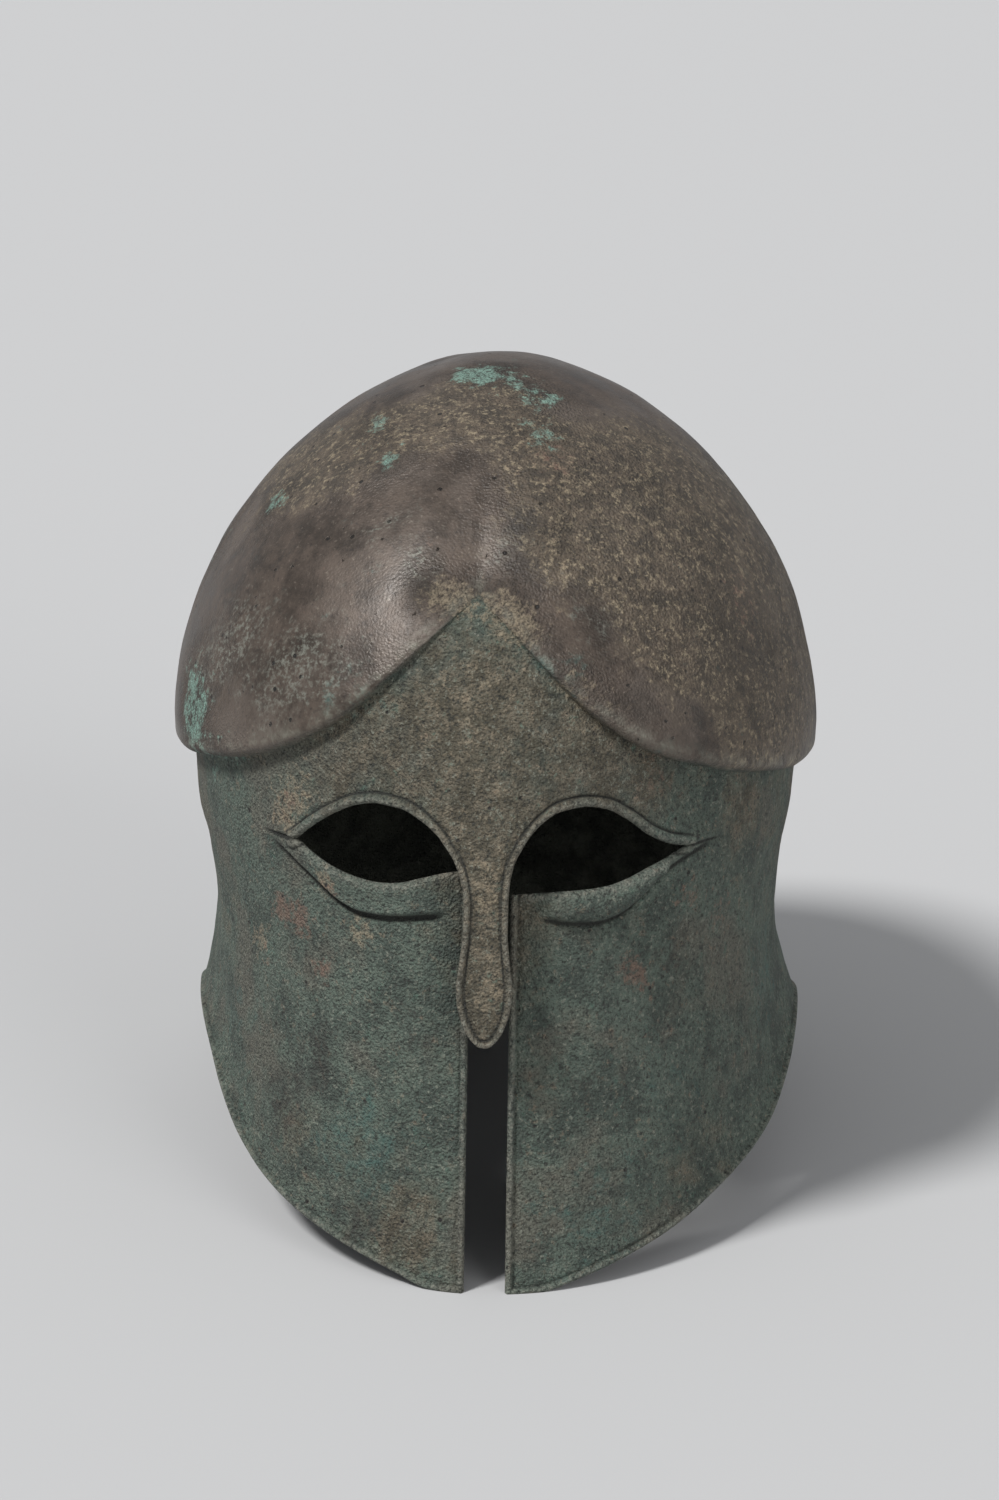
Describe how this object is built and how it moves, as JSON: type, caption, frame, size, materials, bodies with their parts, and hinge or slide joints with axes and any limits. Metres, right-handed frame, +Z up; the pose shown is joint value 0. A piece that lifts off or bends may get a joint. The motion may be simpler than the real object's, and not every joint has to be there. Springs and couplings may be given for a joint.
{
  "type": "corinthian helmet",
  "caption": "Closed bronze helmet with an overhanging skull, almond eyes, a long nasal, cheek guards that almost meet and a flared neck guard.",
  "frame": {"origin": "on the surface that the helmet rests on, under the middle of its overall box", "axes": "+Z up, +Y towards the nape, so the face looks along -Y, and +X to the right as seen from the front"},
  "size_m": [0.1946, 0.2702, 0.2371],
  "materials": {
    "bronze": "corroded bronze with green, brown and tan patina"
  },
  "bodies": {
    "root": {"helmet_shell": "bronze"}
  },
  "joints": []
}
